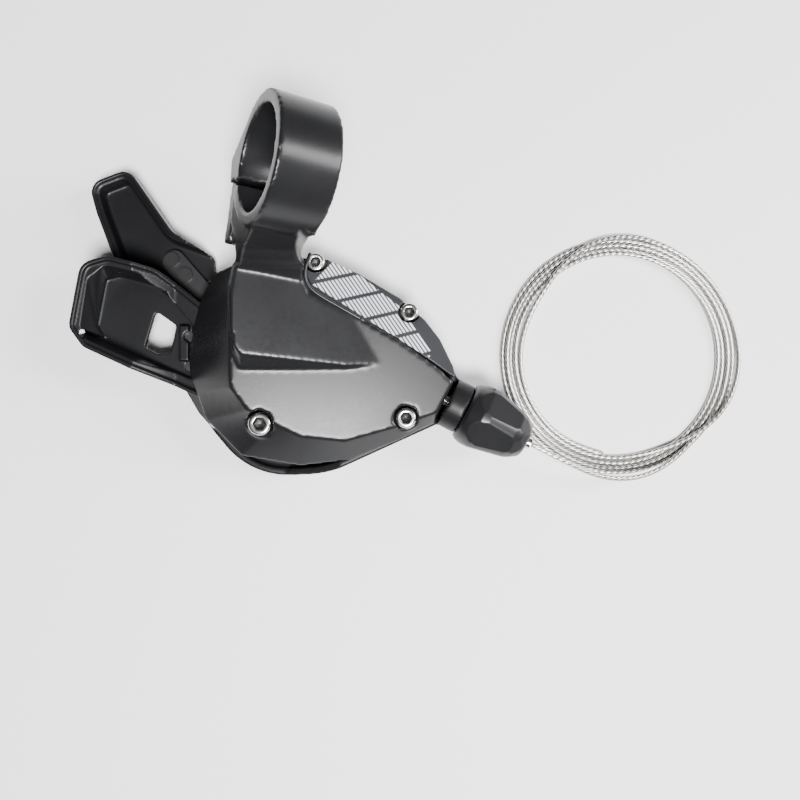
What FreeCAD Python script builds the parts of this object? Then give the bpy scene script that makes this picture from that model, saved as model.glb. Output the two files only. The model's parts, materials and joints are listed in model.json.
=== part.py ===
"""Right-hand bicycle thumb shifter: two thumb levers, an indexed cable spool, a handlebar clamp.

The frame: millimetres, +Z up, the shifter lying on its flat bottom. The origin is where the axis
of the main axle meets that bottom. +X runs towards the cable outlet, +Y towards the handlebar.
"""
import FreeCAD, Part
import math
import os

import Sketcher

V = FreeCAD.Vector
Z_UP = V(0, 0, 1)
doc = FreeCAD.newDocument("thumb_shifter")

# ---------------------------------------------------------------- driving dimensions, millimetres
SIZES = [
    ("floor_thickness", 1.6), ("rim_top", 3.0), ("housing_top", 12.7), ("cover_foot", 13.0),
    ("wall", 1.8), ("cover_wall", 2.0), ("plateau_step", 2.8),
    ("base_plate_foot", 1.9), ("plate_thickness", 1.5),
    ("release_arm_foot", 3.7), ("arm_thickness", 2.0), ("pull_arm_foot", 6.4),
    ("ratchet_foot", 8.7), ("ratchet_thickness", 1.5), ("ratchet_tip_radius", 13.2),
    ("tooth_depth", 1.3), ("tooth_count", 26),
    ("spool_foot", 10.2), ("spool_thickness", 3.4), ("spool_radius", 15.4), ("groove_radius", 14.5),
    ("cable_height", 11.9), ("cable_radius", 0.6),
    ("spring_foot", 13.9), ("spring_height", 1.1),
    ("top_plate_foot", 15.3), ("top_plate_thickness", 1.2),
    ("axle_radius", 3.0), ("running_gap", 0.05), ("post_radius", 1.7),
    ("outlet_angle", -27.0), ("spout_start", 39.75), ("spout_end", 44.3), ("spout_radius", 6.1),
    ("knob_start", 44.45), ("knob_length", 16.55), ("sleeve_radius", 1.5), ("sleeve_end", 62.2),
    ("bar_radius", 11.1), ("clamp_radius", 14.0), ("clamp_width", 13.4), ("slit_width", 1.2),
    ("pull_paddle_foot", 8.4), ("pull_paddle_top", 19.0), ("paddle_floor", 1.5),
    ("release_paddle_foot", 1.9), ("release_paddle_top", 8.0), ("release_floor", 1.8),
    ("pinch_bolt_radius", 2.5), ("pinch_head_radius", 4.2),
    ("coil_inner_radius", 24.6), ("coil_outer_radius", 30.8), ("coil_height", 4.2),
]
sheet = doc.addObject("Spreadsheet::Sheet", "sizes")
for row, (alias, value) in enumerate(SIZES, start=1):
    sheet.set(f"A{row}", alias)
    sheet.set(f"B{row}", str(value))
    sheet.setAlias(f"B{row}", alias)
doc.recompute()
parts = []


def size(alias):
    """The number in the sheet's cell of that alias."""
    return float(sheet.get(alias))


# ---------------------------------------------------------------- helpers
def outline(corners):
    """A closed outline in XY: straight runs between (x, y, corner radius) points."""
    rounded = []
    for index, (x, y, radius) in enumerate(corners):
        here = V(x, y, 0)
        back = (V(*corners[index - 1][:2], 0) - here).normalize()
        ahead = (V(*corners[(index + 1) % len(corners)][:2], 0) - here).normalize()
        half = back.getAngle(ahead) / 2
        reach = radius / math.tan(half)
        middle = here + (back + ahead).normalize() * (radius / math.sin(half) - radius)
        rounded.append((here + back * reach, middle, here + ahead * reach, radius))
    edges = []
    for index, (start, middle, end, radius) in enumerate(rounded):
        if radius:
            edges.append(Part.Arc(start, middle, end))
        following = rounded[(index + 1) % len(rounded)][0]
        if (following - end).Length > 1e-4:
            edges.append(Part.LineSegment(end, following))
    return edges


def inset(corners, distance):
    """The same outline moved inwards; the corners run anticlockwise."""
    moved = []
    for index, (x, y, radius) in enumerate(corners):
        here = V(x, y, 0)
        back = (here - V(*corners[index - 1][:2], 0)).normalize()
        ahead = (V(*corners[(index + 1) % len(corners)][:2], 0) - here).normalize()
        into = Z_UP.cross(back) + Z_UP.cross(ahead)
        point = here + into * (2 * distance / into.dot(into))
        turn = back.cross(ahead).z
        new_radius = max(radius - distance, 0) if turn > 0 else radius + distance * (radius > 0)
        moved.append((point.x, point.y, new_radius))
    return moved


def circle(x, y, radius):
    return [Part.Circle(V(x, y, 0), Z_UP, radius)]


def polar(radius, degrees):
    return radius * math.cos(math.radians(degrees)), radius * math.sin(math.radians(degrees))


def sketch_on(body, name, shapes, lift):
    """A sketch parallel to the body's XY plane, at a height that an expression gives."""
    sketch = body.newObject("Sketcher::SketchObject", name)
    plane = next(item for item in body.Origin.OriginFeatures if item.Role == "XY_Plane")
    sketch.AttachmentSupport = [(plane, "")]
    sketch.MapMode = "FlatFace"
    sketch.setExpression("AttachmentOffset.Base.z", lift)
    for shape in shapes:
        index = sketch.addGeometry(shape, False)
        if isinstance(shape, Part.Circle):
            sketch.addConstraint(Sketcher.Constraint("Radius", index, shape.Radius))
    return sketch


def pad(body, name, shapes, lift, height):
    feature = body.newObject("PartDesign::Pad", name)
    feature.Profile = sketch_on(body, name + "_outline", shapes, lift)
    feature.setExpression("Length", height)


def pocket(body, name, shapes, top, depth):
    """Cuts downwards from the height `top`; the volume has to fall."""
    doc.recompute()
    before = body.Shape.Volume
    feature = body.newObject("PartDesign::Pocket", name)
    feature.Profile = sketch_on(body, name + "_outline", shapes, top)
    feature.setExpression("Length", depth)
    doc.recompute()
    if not body.Shape.Volume < before - 1e-3:
        raise RuntimeError(name + " cuts nothing")


def new_body(label):
    body = doc.addObject("PartDesign::Body", label)
    parts.append(body)
    return body


def plate(label, shapes, lift, height):
    """A flat piece with its holes in the outline's own sketch."""
    body = new_body(label)
    pad(body, label + "_plate", shapes, lift, height)
    return body


def cylinder(label, radius, height, base=None, rotation=None, keep=False):
    """A Part::Cylinder whose radius and height are expressions."""
    tube = doc.addObject("Part::Cylinder", label)
    tube.setExpression("Radius", radius)
    tube.setExpression("Height", height)
    tube.Placement = FreeCAD.Placement(base or V(), rotation or FreeCAD.Rotation())
    if keep:
        parts.append(tube)
    return tube


def boolean(label, kind, first, second, keep=True):
    result = doc.addObject("Part::" + kind, label)
    result.Base, result.Tool = first, second
    if keep:
        parts.append(result)
    return result


def feature(label, shape, keep=True):
    """A solid or group of solids worked out with Part's own functions."""
    item = doc.addObject("Part::Feature", label)
    item.Shape = shape
    item.Placement = shape.Placement
    if keep:
        parts.append(item)
    return item


def ruled(sections):
    """A solid through closed point rings of equal count, with flat ends."""
    wires = [Part.makePolygon(list(ring) + [ring[0]]) for ring in sections]
    return Part.makeLoft(wires, True, True)


def revolved(profile, place):
    """A solid of revolution from (station, radius) points, its axis laid along `place`."""
    points = [V(radius, 0, station) for station, radius in profile]
    face = Part.Face(Part.makePolygon(points + [points[0]]))
    solid = face.revolve(V(), Z_UP, 360)
    solid.Placement = place
    return solid


def screw(head_radius, head_height, shank_radius, shank_length, socket, place):
    """A socket-head screw: origin under its head, shank down -Z, hexagon socket in the top."""
    head = Part.makeCylinder(head_radius, head_height)
    head = head.makeFillet(head_height / 6, [head.Edges[0]])
    hexagon = Part.makePolygon([V(*polar(socket, 60 * k), head_height * 0.45) for k in range(7)])
    head = head.cut(Part.Face(hexagon).extrude(V(0, 0, head_height)))
    shank = Part.makeCylinder(shank_radius, shank_length, V(0, 0, -shank_length))
    solid = head.fuse(shank).removeSplitter()
    solid.Placement = place
    return solid


def up(x, y, z):
    return FreeCAD.Placement(V(x, y, z), FreeCAD.Rotation())


def down(x, y, z):
    return FreeCAD.Placement(V(x, y, z), FreeCAD.Rotation(V(1, 0, 0), 180))


# ---------------------------------------------------------------- shared places
# The cable leaves the spool at a tangent and runs straight out through the adjuster.
OUTLET = V(*polar(1, size("outlet_angle")), 0)
SIDE = Z_UP.cross(OUTLET)
TANGENT = SIDE * size("groove_radius") + V(0, 0, size("cable_height"))
ALONG = FreeCAD.Rotation(Z_UP, OUTLET)


def outlet(station):
    """The point of the cable line this far from where it leaves the spool."""
    return TANGENT + OUTLET * station


def on_outlet(station):
    return FreeCAD.Placement(outlet(station), ALONG)


# The handlebar's axis, and two directions across it: LEAN towards the body, RISE upwards.
BAR = V(-0.8716, 0.1108, 0.4775).normalize()
LEAN = Z_UP.cross(BAR).normalize()
RISE = BAR.cross(LEAN)
CLAMP_FACE = V(1.0, 44.8, 42.6)


def clamp_point(lean, rise, depth):
    """A point in the clamp's own plane, `depth` in from its outboard face."""
    return CLAMP_FACE + LEAN * lean + RISE * rise - BAR * depth


def clamp_block(points, near, far):
    """A prism across the clamp from (lean, rise) corners, between two depths."""
    ring = [clamp_point(lean, rise, near) for lean, rise in points]
    face = Part.Face(Part.makePolygon(ring + [ring[0]]))
    return face.extrude(BAR * (near - far))


# The body's outline as it lies on its back, anticlockwise from the left.
HOUSING = [(-25.5, -2.2, 21), (-6.6, -24.8, 20), (12.8, -22.8, 30), (39.6, -10.6, 2),
           (44.4, 0.4, 2), (40.1, 9.6, 8), (36.5, 14.4, 6), (30.5, 19.7, 20), (11, 29.5, 3),
           (-7.2, 29.5, 6)]
POSTS = [(2.0, 19.5), (22.8, 7.4), (15.0, -10.5)]
COVER_SCREWS = [(-2.0, -10.3, 18.6, 2.7), (31.9, -9.0, 15.4, 2.4)]
NAME_SCREWS = [(32.7, 16.2, 12.75, 2.15), (10.6, 27.7, 15.2, 2.15)]


def slope_height(x, y):
    """Top of the cover's outer slope, which falls towards the cable outlet."""
    return 22.6 - 0.135 * x + 0.08 * y


def plateau_height(x, y):
    """Top of the raised middle of the cover; it dies into the slope near the outlet."""
    return 22.6 + size("plateau_step") - 0.235 * x + 0.02 * y


def name_height(x, y):
    """Top of the name cover, which falls away from the clamp cover."""
    return 16.2 - 0.36 * (x - 10.5) - 0.456 * (y - 29.9)


def raise_to(points, height, drop=0.0):
    return [V(x, y, height(x, y) - drop) for x, y in points]


# ---------------------------------------------------------------- lower housing
def lower_housing():
    body = new_body("housing_shell")
    parts.remove(body)
    pad(body, "housing_block", outline(HOUSING), "0 mm", "sizes.housing_top")
    pocket(body, "housing_hollow", outline(inset(HOUSING, size("wall"))),
           "sizes.housing_top", "sizes.housing_top - sizes.floor_thickness")
    lever_slot = [(-60, 60, 0), (-60, -60, 0), (2, -60, 0), (2, -10, 0), (-8.5, 10, 0), (-8.5, 60, 0)]
    pocket(body, "lever_slot", outline(lever_slot), "sizes.housing_top",
           "sizes.housing_top - sizes.rim_top")
    bosses = []
    cover_x, cover_y = COVER_SCREWS[1][:2]
    for name, x, y, radius in [("cover_boss", cover_x, cover_y, 3.2),
                               ("name_boss_1", NAME_SCREWS[0][0] - 0.7, NAME_SCREWS[0][1] - 1.0, 3.0),
                               ("name_boss_2", NAME_SCREWS[1][0] - 0.2, NAME_SCREWS[1][1] - 1.8, 3.0)]:
        boss = cylinder(name, f"{radius} mm", "sizes.housing_top", V(x, y, 0))
        bosses.append(boss)
    spout = cylinder("spout", "sizes.spout_radius", "sizes.spout_end - sizes.spout_start",
                     outlet(size("spout_start")), ALONG)
    shell = doc.addObject("Part::MultiFuse", "housing_solid")
    shell.Shapes = [body, spout] + bosses
    bore = feature("spout_bore", Part.makeCylinder(4.6, 10, V(), Z_UP), keep=False)
    bore.Placement = on_outlet(size("spout_start") - 3.5)
    holes = [Part.makeCylinder(1.3, 4, V(x, y, -1)).fuse(Part.makeCylinder(2.6, 1.0, V(x, y, 0)))
             for x, y in POSTS]
    holes += [Part.makeCylinder(1.2, 9, V(x, y, 4)) for x, y in
              [(cover_x, cover_y), NAME_SCREWS[0][:2], NAME_SCREWS[1][:2]]]
    drills = feature("housing_drills", Part.makeCompound(holes), keep=False)
    ramp = [V(-60, -40, 3.0), V(1.9, -40, 3.0), V(16, -40, 12.8), V(-60, -40, 12.8)]
    ramp_cut = Part.Face(Part.makePolygon(ramp + [ramp[0]])).extrude(V(0, 27, 0))
    cutters = doc.addObject("Part::MultiFuse", "housing_cutters")
    cutters.Shapes = [bore, drills, feature("lever_slot_ramp", ramp_cut, keep=False)]
    boolean("lower_housing", "Cut", shell, cutters)


# ---------------------------------------------------------------- clamp cover
# Cover corners as (foot x, foot y, top x, top y), anticlockwise from the upper left.
COVER = [(-17.6, 19.3, -8.2, 19.8), (-19.5, 12, -8.2, 12.5), (-20.5, 4.8, -8.2, 5),
         (-20, 0, -8.2, 0.5), (-18.8, -2.6, -8, -2), (-16.4, -9.6, -4.3, -7.1),
         (-8, -18.4, 1.5, -10.1), (6.5, -20.8, 7.4, -13.1), (18.5, -19.4, 17.7, -14.3),
         (30.5, -14.6, 29.3, -11.1), (38.7, -10.4, 39.6, -7.6), (43.2, -0.6, 43.2, -0.6),
         (39.9, 2.7, 39.9, 2.7), (30.5, 9.1, 30.5, 9.1), (19.5, 15.3, 19.5, 15.3),
         (14.6, 17.9, 14.6, 17.9), (10.2, 20.2, 10.2, 20.2), (8.4, 24.4, 8.4, 24.4),
         (8.9, 28.7, 8.9, 28.7), (-6, 29, -6.5, 27), (-14.5, 25.3, -7.2, 25.5)]
PLATEAU = [(-7.9, 19.6, -7.4, 19.4), (-7.9, 12, -7.3, 12), (-7.6, 5, -6.8, 7.5),
           (-6.2, 0.6, -5.2, 5.6), (7.8, 0.6, 7.8, 4.3), (18, 1.2, 18, 3.2), (29.5, 3.0, 28.8, 3.8),
           (29.5, 9.2, 28.8, 8.6), (19.3, 15.1, 19.0, 14.5), (14.5, 17.7, 14.1, 17.1),
           (10.1, 20.0, 9.6, 19.6), (8.3, 24.3, 7.7, 24.0), (8.6, 28.4, 8.0, 27.6),
           (-6.2, 26.8, -5.7, 26.2), (-7.0, 25.3, -6.4, 25.0)]
# The neck's rings, from the cover to the clamp: front left, front right, back right, back left.
NECK = [[(-6.8, 20.6, 24.2), (8.3, 20.6, 22.4), (8.3, 28.5, 22.4), (-6.8, 28.5, 24.2)],
        [(-6.4, 22.6, 25.6), (8.3, 22.6, 24.2), (8.2, 29.2, 22.8), (-6.7, 29.2, 24.6)],
        [(-5.6, 24.6, 27.2), (8.6, 24.6, 25.8), (7.8, 30.4, 23.2), (-6.9, 30.4, 25.2)],
        [(-4.8, 26.2, 29.6), (9.3, 26.2, 28.0), (8.2, 32.0, 22.9), (-7.2, 32.2, 26.0)],
        [(-3.7, 28.0, 33.0), (10.4, 28.0, 31.0), (8.6, 34.4, 22.6), (-7.4, 35.5, 27.2)]]


def moved_in(points, distance):
    return [(x, y) for x, y, _ in inset([(x, y, 0) for x, y in points], distance)]


def clamp_cover():
    foot = size("cover_foot")
    wall = size("cover_wall")
    feet = [(x, y) for x, y, _, _ in COVER]
    tops = [(x, y) for _, _, x, y in COVER]
    skin = ruled([[V(x, y, foot) for x, y in feet], raise_to(tops, slope_height)])
    hollow = ruled([[V(x, y, foot - 0.01) for x, y in moved_in(feet, wall * 0.8)],
                    raise_to(moved_in(tops, wall * 0.8), slope_height, wall)])
    plateau = ruled([raise_to([(x, y) for x, y, _, _ in PLATEAU], slope_height, 1.4),
                     raise_to([(x, y) for _, _, x, y in PLATEAU], plateau_height)])
    neck = ruled([[V(*corner) for corner in ring] for ring in NECK] + [
        [clamp_point(9.6, 10.2, 0), clamp_point(9.6, 10.2, size("clamp_width")),
         clamp_point(5.6, -14, size("clamp_width")), clamp_point(5.6, -14, 0)]])
    across = FreeCAD.Rotation(Z_UP, BAR * -1)
    ring = Part.makeCylinder(size("clamp_radius"), size("clamp_width"))
    ring.Placement = FreeCAD.Placement(CLAMP_FACE, across)
    jaw = clamp_block([(-9.9, -9.9), (-3.2, -18.6), (2.4, -17.2), (1.2, -10), (-4, -6)],
                      0, size("clamp_width"))
    ear = clamp_block([(-3.2, -18.5), (-1.5, -21.8), (15, -22.6), (15, -18.9), (2.4, -17.2)],
                      1.8, size("clamp_width"))
    bore = Part.makeCylinder(size("bar_radius"), 3 * size("clamp_width"))
    bore.Placement = FreeCAD.Placement(CLAMP_FACE + BAR * size("clamp_width"), across)
    slit = clamp_block([(2.2, -9), (2.2 + size("slit_width"), -9),
                        (4.2, -16.1), (20, -18.2), (20, -18.2 - size("slit_width")), (2.6, -17.2)],
                       -5, size("clamp_width") + 5)
    bolt_axis = FreeCAD.Rotation(Z_UP, RISE)
    bolt_hole = Part.makeCylinder(size("pinch_bolt_radius") + 0.05, 13)
    bolt_hole.Placement = FreeCAD.Placement(clamp_point(8.0, -23, 7.7), bolt_axis)
    solid = skin.cut(hollow).fuse([plateau, neck, ring, jaw, ear])
    solid = solid.cut(bore).cut(slit).cut(bolt_hole)
    x, y, seat, radius = COVER_SCREWS[0]
    column_foot = size("top_plate_foot") + size("top_plate_thickness")
    column = Part.makeCylinder(3.3, seat - column_foot, V(x, y, column_foot))
    solid = solid.fuse(column)
    for x, y, seat, radius in COVER_SCREWS:
        solid = solid.cut(Part.makeCylinder(radius + 0.45, 10, V(x, y, seat)))
        solid = solid.cut(Part.makeCylinder(1.5, 12, V(x, y, seat - 10)))
    spacer_x, spacer_y, seat, _ = COVER_SCREWS[1]
    spacer = Part.makeCylinder(3.2, seat - foot, V(spacer_x, spacer_y, foot))
    spacer = spacer.cut(Part.makeCylinder(1.5, 12, V(spacer_x, spacer_y, foot - 1)))
    solid = solid.fuse(spacer)
    x, y, seat, radius = NAME_SCREWS[1]
    solid = solid.cut(Part.makeCylinder(radius + 0.6, 30, V(x, y, foot - 1)))
    passage = Part.makeCylinder(2.0, 10)
    passage.Placement = on_outlet(34)
    feature("clamp_cover", solid.cut(passage).removeSplitter())


# ---------------------------------------------------------------- name cover
NAME = [(43.4, 0.4), (43.2, 2.9), (40.1, 9.6), (36.5, 14.4), (30.5, 19.6), (20.8, 25.3), (11.2, 29.4),
        (9.2, 29.0), (8.55, 24.45), (10.35, 20.35), (14.7, 18.05), (19.6, 15.45), (30.6, 9.25),
        (40.0, 2.85)]


def name_cover():
    foot = size("cover_foot") - 0.25
    skin = ruled([[V(x, y, foot) for x, y in NAME], raise_to(NAME, name_height)])
    for x, y, seat, radius in NAME_SCREWS:
        skin = skin.cut(Part.makeCylinder(radius + 0.5, 8, V(x, y, seat)))
        skin = skin.cut(Part.makeCylinder(1.2, 12, V(x, y, seat - 8)))
    feature("name_cover", skin.removeSplitter())


# ---------------------------------------------------------------- plates, posts and axle
def frame_pieces():
    plate_rim = [(-20.5, -1.9, 16.5), (-5.5, -17.5, 14), (11, -16.6, 12), (26.5, -10.5, 3),
                 (28, -3.5, 3), (33, -3, 3), (33, 9, 4), (8, 22, 4), (-4, 24.5, 5)]
    holes = circle(0, 0, size("axle_radius") + 0.01)
    for x, y in POSTS:
        holes += circle(x, y, 1.3)
    plate("base_plate", outline(plate_rim) + holes, "sizes.base_plate_foot", "sizes.plate_thickness")
    top_rim = [(-10.5, 6, 5), (-9.5, -5.5, 5), (-3.5, -11.4, 1.5), (0.5, -11.8, 1.5), (15.5, -12.5, 2.5),
               (25.5, 4, 2.5), (25, 9, 2.5), (9.3, 17.0, 3), (4.8, 21.3, 2), (-0.5, 22.1, 2.5)]
    top_holes = circle(0, 0, size("axle_radius") + 0.01) + circle(*COVER_SCREWS[0][:2], 1.2)
    for x, y in POSTS:
        top_holes += circle(x, y, 1.3)
    plate("top_plate", outline(top_rim) + top_holes, "sizes.top_plate_foot", "sizes.top_plate_thickness")
    posts, low_screws, high_screws = [], [], []
    low, high = size("base_plate_foot") + size("plate_thickness"), size("top_plate_foot")
    for x, y in POSTS:
        post = Part.makeCylinder(size("post_radius"), high - low, V(x, y, low))
        posts.append(post.cut(Part.makeCylinder(1.2, 30, V(x, y, 0))))
        low_screws.append(screw(2.4, 0.8, 1.2, 5.5, 0.9, down(x, y, 1.0)))
        high_screws.append(screw(2.2, 0.8, 1.2, 5.0, 0.9, up(x, y, high + size("top_plate_thickness"))))
    feature("frame_posts", Part.makeCompound(posts))
    feature("floor_screws", Part.makeCompound(low_screws))
    feature("top_plate_screws", Part.makeCompound(high_screws))
    cylinder("main_axle", "sizes.axle_radius", "18.6 - sizes.base_plate_foot",
             V(0, 0, size("base_plate_foot")), keep=True)
    nut_foot = size("top_plate_foot") + size("top_plate_thickness")
    hexagon = [Part.LineSegment(V(*polar(4.6, 60 * k), 0), V(*polar(4.6, 60 * (k + 1)), 0))
               for k in range(6)]
    plate("axle_nut", hexagon + circle(0, 0, size("axle_radius")), f"{nut_foot} mm", "1.8 mm")
    washers = []
    for foot, height in [(3.45, 0.2), (5.75, 0.6), (8.45, 0.2), (13.65, 1.6)]:
        washer = Part.makeCylinder(4.6, height, V(0, 0, foot))
        washers.append(washer.cut(Part.makeCylinder(size("axle_radius"), 30)))
    feature("axle_washers", Part.makeCompound(washers))


# ---------------------------------------------------------------- cable spool and ratchet
def spool_pieces():
    tip, root = size("ratchet_tip_radius"), size("ratchet_tip_radius") - size("tooth_depth")
    hub_gap = size("axle_radius") + size("running_gap")
    rim = []
    for tooth in range(int(size("tooth_count"))):
        angle = tooth * 360 / size("tooth_count")
        rim += [V(*polar(root, angle), 0), V(*polar(tip, angle + 1.5), 0),
                V(*polar(tip, angle + 3.5), 0)]
    lines = [Part.LineSegment(a, b) for a, b in zip(rim, rim[1:] + rim[:1])]
    plate("index_ratchet", lines + circle(0, 0, hub_gap), "sizes.ratchet_foot", "sizes.ratchet_thickness")
    body = new_body("cable_spool")
    pad(body, "spool_disc", circle(0, 0, size("spool_radius")) + circle(0, 0, hub_gap),
        "sizes.spool_foot", "sizes.spool_thickness")
    doc.recompute()
    parts.remove(body)
    groove = doc.addObject("Part::Torus", "spool_groove")
    groove.setExpression("Radius1", "sizes.groove_radius + 0.5")
    groove.setExpression("Radius2", "sizes.cable_radius + 0.4")
    groove.Placement = up(0, 0, size("cable_height"))
    body.Label = "spool_blank"
    nest_x, nest_y = polar(size("groove_radius") - 0.4, 72)
    nest = cylinder("head_nest", "2.3 mm", "sizes.spool_thickness", V(nest_x, nest_y, size("spool_foot") + 0.6))
    cutters = doc.addObject("Part::MultiFuse", "spool_cutters")
    cutters.Shapes = [groove, nest]
    boolean("cable_spool_piece", "Cut", body, cutters).Label = "cable_spool"
    feature("cable_head", Part.makeCylinder(1.9, 2.4, V(nest_x * 0.985, nest_y * 0.985, size("spool_foot") + 0.65)))
    band, coils, inner, pitch = [], 5, 5.3, 0.8
    for side in (-0.15, 0.15):
        arcs = []
        for half in range(2 * coils):
            radius = inner + pitch * half / 2 + side
            centre = V(pitch / 4 if half % 2 else -pitch / 4, 0, 0)
            sign = -1 if half % 2 else 1
            arcs.append(Part.Arc(centre + V(sign * radius, 0, 0), centre + V(0, sign * radius, 0),
                                 centre - V(sign * radius, 0, 0)))
        band.append(arcs)
    edges = [arc.toShape() for arcs in band for arc in arcs]
    ends = [(band[0][0].StartPoint, band[1][0].StartPoint), (band[0][-1].EndPoint, band[1][-1].EndPoint)]
    edges += [Part.makeLine(a, b) for a, b in ends]
    face = Part.Face(Part.Wire(Part.__sortEdges__(edges)))
    spring = face.extrude(V(0, 0, size("spring_height")))
    spring.translate(V(0, 0, size("spring_foot")))
    feature("spool_spring", spring)


# ---------------------------------------------------------------- levers
PULL_ARM = [(6, -6, 5), (6, 6, 5), (-5, 8, 6), (-14, 14.5, 3), (-24.5, 13, 3), (-24.5, 1.5, 3),
            (-19, -8, 3), (-14.5, -13, 2.4), (-9.8, -10, 2), (-5, -7, 3)]
PULL_PADDLE = [(-47, 12.3, 3), (-43.6, 7.6, 3.5), (-21, -2.8, 4), (-16.8, -4.6, 1), (-16.5, 17.6, 1),
               (-27.5, 26.4, 6), (-38, 29, 5), (-44.2, 27.2, 4)]
WINDOW = [(-29.2, 17.0, 0.8), (-31.9, 8.0, 0.8), (-28.7, 6.5, 0.8), (-25.6, 6.8, 0.8), (-24.2, 13.4, 0.8)]
PULL_RIVETS = [(-20.8, 10.6), (-20.8, 3.4)]
PAWL_PIN = polar(17.2, 215)
RELEASE_PADDLE = [(-46.4, 48.6, 3.5), (-44.5, 41.5, 8), (-40, 29.5, 5), (-34, 23, 4), (-24, 20.5, 2),
                  (-16, 25.5, 1), (-16.2, 31, 2), (-25.8, 36.8, 6), (-36.6, 52.4, 3.5)]
RELEASE_ANGLE = 131.0
RELEASE_RIVETS = [polar(35, RELEASE_ANGLE), polar(40, RELEASE_ANGLE)]


def rounded_ring(corners, height, steps=4):
    """Points round an outline at a height, with `steps` chords along each corner's arc."""
    ring = []
    for index, (x, y, radius) in enumerate(corners):
        here = V(x, y, 0)
        back = (V(*corners[index - 1][:2], 0) - here).normalize()
        ahead = (V(*corners[(index + 1) % len(corners)][:2], 0) - here).normalize()
        half = back.getAngle(ahead) / 2
        radius = max(radius, 0.4)
        centre = here + (back + ahead).normalize() * (radius / math.sin(half))
        first = here + back * (radius / math.tan(half)) - centre
        turn = (math.pi - 2 * half) * (1 if (back * -1).cross(ahead).z > 0 else -1)
        for step in range(steps + 1):
            spoke = FreeCAD.Rotation(Z_UP, math.degrees(turn * step / steps)).multVec(first)
            point = centre + spoke
            ring.append(V(point.x, point.y, height))
    return ring


def scoop(corners, rim, floor, top, bottom):
    """A hollow that narrows downwards: inset by `rim` at the top and by `floor` at the bottom."""
    return ruled([rounded_ring(inset(corners, floor), bottom), rounded_ring(inset(corners, rim), top)])


def pull_lever():
    hub_gap = size("axle_radius") + size("running_gap")
    holes = circle(0, 0, hub_gap) + circle(*PAWL_PIN, 1.2)
    for x, y in PULL_RIVETS:
        holes += circle(x, y, 1.2)
    plate("pull_lever_arm", outline(PULL_ARM) + holes, "sizes.pull_arm_foot", "sizes.arm_thickness")
    body = new_body("pull_paddle_blank")
    parts.remove(body)
    rivet_holes = []
    for x, y in PULL_RIVETS:
        rivet_holes += circle(x, y, 1.2)
    pad(body, "pull_paddle_block", outline(PULL_PADDLE) + rivet_holes, "sizes.pull_paddle_foot",
        "sizes.pull_paddle_top - sizes.pull_paddle_foot")
    pocket(body, "pull_paddle_window", outline(WINDOW), "sizes.pull_paddle_top",
           "sizes.pull_paddle_top - sizes.pull_paddle_foot + 1")
    floor, top = size("pull_paddle_foot") + size("paddle_floor"), size("pull_paddle_top")
    slope = [V(-60, -20, top), V(-32.2, -20, top), V(-24, -20, 12.4), V(0, -20, 12.4), V(0, -20, 30),
             V(-60, -20, 30)]
    above = Part.Face(Part.makePolygon(slope + [slope[0]])).extrude(V(0, 60, 0))
    ledge = scoop(PULL_PADDLE, 1.0, 1.0, 30, floor).common(above.translated(V(0, 0, -0.9)))
    hollow = scoop(PULL_PADDLE, 1.9, 3.4, top + 0.1, floor)
    rib = Part.makeBox(2.2, 8.5, 2.4, V(-23.0, 4.8, floor))
    cutters = doc.addObject("Part::MultiFuse", "pull_paddle_cutters")
    cutters.Shapes = [feature("pull_paddle_above", above, keep=False),
                      feature("pull_paddle_ledge", ledge, keep=False),
                      feature("pull_paddle_scoop", hollow.cut(rib), keep=False)]
    boolean("pull_lever_paddle", "Cut", body, cutters)
    pins = [Part.makeCylinder(1.2, 3.5, V(x, y, size("pull_arm_foot"))) for x, y in PULL_RIVETS]
    feature("pull_lever_rivets", Part.makeCompound(pins))
    x, y = PAWL_PIN
    feature("drive_pawl_pin", Part.makeCylinder(1.2, 4.0, V(x, y, size("pull_arm_foot"))))
    nose_x, nose_y = polar(size("ratchet_tip_radius") + 0.5, 240)
    pawl = [(x - 2.2, y - 1.2, 1.5), (x + 1.0, y - 2.4, 1.5), (nose_x + 1.2, nose_y - 1.1, 0),
            (nose_x + 0.5, nose_y + 0.2, 0), (nose_x - 1.6, nose_y + 1.0, 0.4), (x + 1.4, y + 1.6, 1.2),
            (x - 1.0, y + 2.3, 1.2)]
    plate("drive_pawl", outline(pawl) + circle(x, y, 1.25), "sizes.ratchet_foot", "sizes.ratchet_thickness")


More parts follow.
